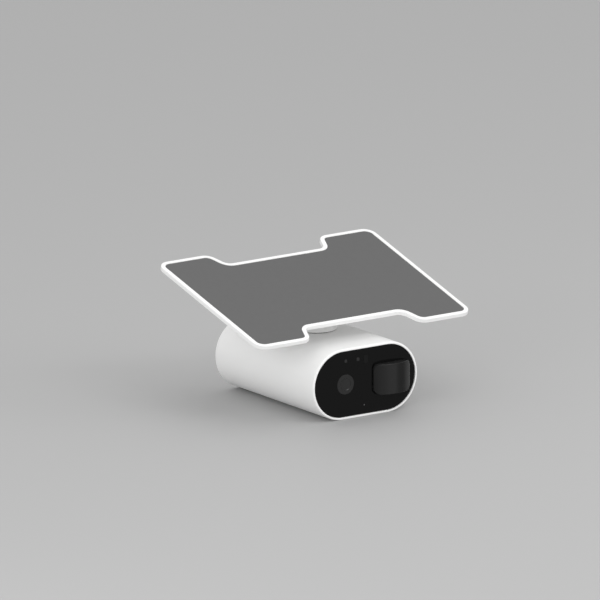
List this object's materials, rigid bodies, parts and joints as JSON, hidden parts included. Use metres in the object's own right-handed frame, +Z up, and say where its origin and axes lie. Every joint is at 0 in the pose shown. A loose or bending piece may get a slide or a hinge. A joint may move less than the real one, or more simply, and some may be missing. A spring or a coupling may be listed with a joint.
{
  "type": "solar-powered security camera",
  "caption": "White round-ended outdoor camera with a black front plate and bulged motion sensor, and a waisted solar panel that tilts and swivels on top.",
  "frame": {"origin": "mouth of the tripod thread, in the middle of the flat underside that the casing rests on", "axes": "+Z up; -Y the way the lens looks; +X to the right when facing the lens side from the front"},
  "size_m": [0.1828, 0.1318, 0.0982],
  "materials": {
    "white_casing": "satin moulded ABS",
    "gloss_black": "polished black polycarbonate",
    "window_glass": "smoked clear window",
    "light_pipe": "clear moulded light pipe over a dark chamber",
    "sensor_dome": "satin black polyethylene",
    "panel_face": "matte textured laminate",
    "black_rubber": "matte silicone",
    "grey_rubber": "matte silicone",
    "circuit_board": "green solder mask",
    "steel": "plated",
    "black_plastic": "fine texture",
    "led_resin": "moulded resin",
    "optical_glass": "coated and polished",
    "filter_glass": "infrared-cut coating",
    "copper": "bare",
    "sensor_chip": "cover glass over a dark die",
    "silicon": "dark blue silicon",
    "cell_wrap": "shrink film",
    "connector": "nylon",
    "brass_insert": "turned",
    "lead_jacket": "matte jacket"
  },
  "bodies": {
    "casing": {"main_housing": "white_casing", "front_plate": "gloss_black", "front_gasket": "black_rubber", "lens_window": "window_glass", "status_window": "light_pipe", "light_sensor_window": "window_glass", "ir_window": "gloss_black", "pir_lens": "sensor_dome", "front_board": "circuit_board", "front_board_screws": "steel", "pir_sensor": "steel", "status_led": "led_resin", "light_sensor": "led_resin", "ir_led": "led_resin", "microphone": "steel", "mic_boot": "black_rubber", "lens_barrel": "black_plastic", "front_element": "optical_glass", "rear_element": "optical_glass", "lens_holder": "black_plastic", "filter_motor": "copper", "image_sensor": "sensor_chip", "sensor_board": "circuit_board", "main_board": "circuit_board", "board_shield": "steel", "wifi_antenna": "copper", "board_screws": "steel", "battery_tray": "black_plastic", "battery_cells": "cell_wrap", "battery_contacts": "steel", "lead_socket": "connector", "tripod_insert": "brass_insert", "rear_cover": "white_casing", "rear_gasket": "black_rubber", "rear_screws": "steel", "rear_board": "circuit_board", "speaker": "black_plastic", "usb_port": "steel", "card_slot": "steel", "button_switch": "black_plastic", "flap_pin": "steel", "turret_seal": "black_rubber"},
    "turntable": {"turret": "white_casing", "turret_nut": "steel", "wave_washer": "steel", "pivot_pins": "steel", "pivot_washers": "black_rubber", "post_lead": "lead_jacket"},
    "panel": {"panel_bracket": "white_casing", "bracket_screws": "steel", "panel_frame": "white_casing", "panel_board": "circuit_board", "solar_cells": "silicon", "panel_cover": "panel_face", "panel_lead": "lead_jacket"},
    "filter": {"filter_slider": "black_plastic", "ir_cut_glass": "filter_glass", "clear_glass": "optical_glass"},
    "button": {"sync_button": "grey_rubber"},
    "flap": {"port_flap": "grey_rubber"}
  },
  "joints": [
    {"name": "panel_swivel", "type": "hinge", "parent": "casing", "child": "turntable", "pos_m": [0, 0, 0.0515], "axis": [0, 0, 1], "range_deg": [-170, 170]},
    {"name": "panel_tilt", "type": "hinge", "parent": "turntable", "child": "panel", "pos_m": [0, 0, 0.0655], "axis": [1, 0, 0], "range_deg": [-40, 12]},
    {"name": "filter_shift", "type": "slide", "parent": "casing", "child": "filter", "axis": [-1, 0, 0], "range_m": [0, 0.008]},
    {"name": "button_press", "type": "slide", "parent": "casing", "child": "button", "axis": [0, -1, 0], "range_m": [0, 0.0008], "stiffness_N_per_m": 1000, "springref_m": -0.0004},
    {"name": "flap_hinge", "type": "hinge", "parent": "casing", "child": "flap", "pos_m": [0.022, 0.0589, 0.0202], "axis": [-1, 0, 0], "range_deg": [0, 95]}
  ]
}
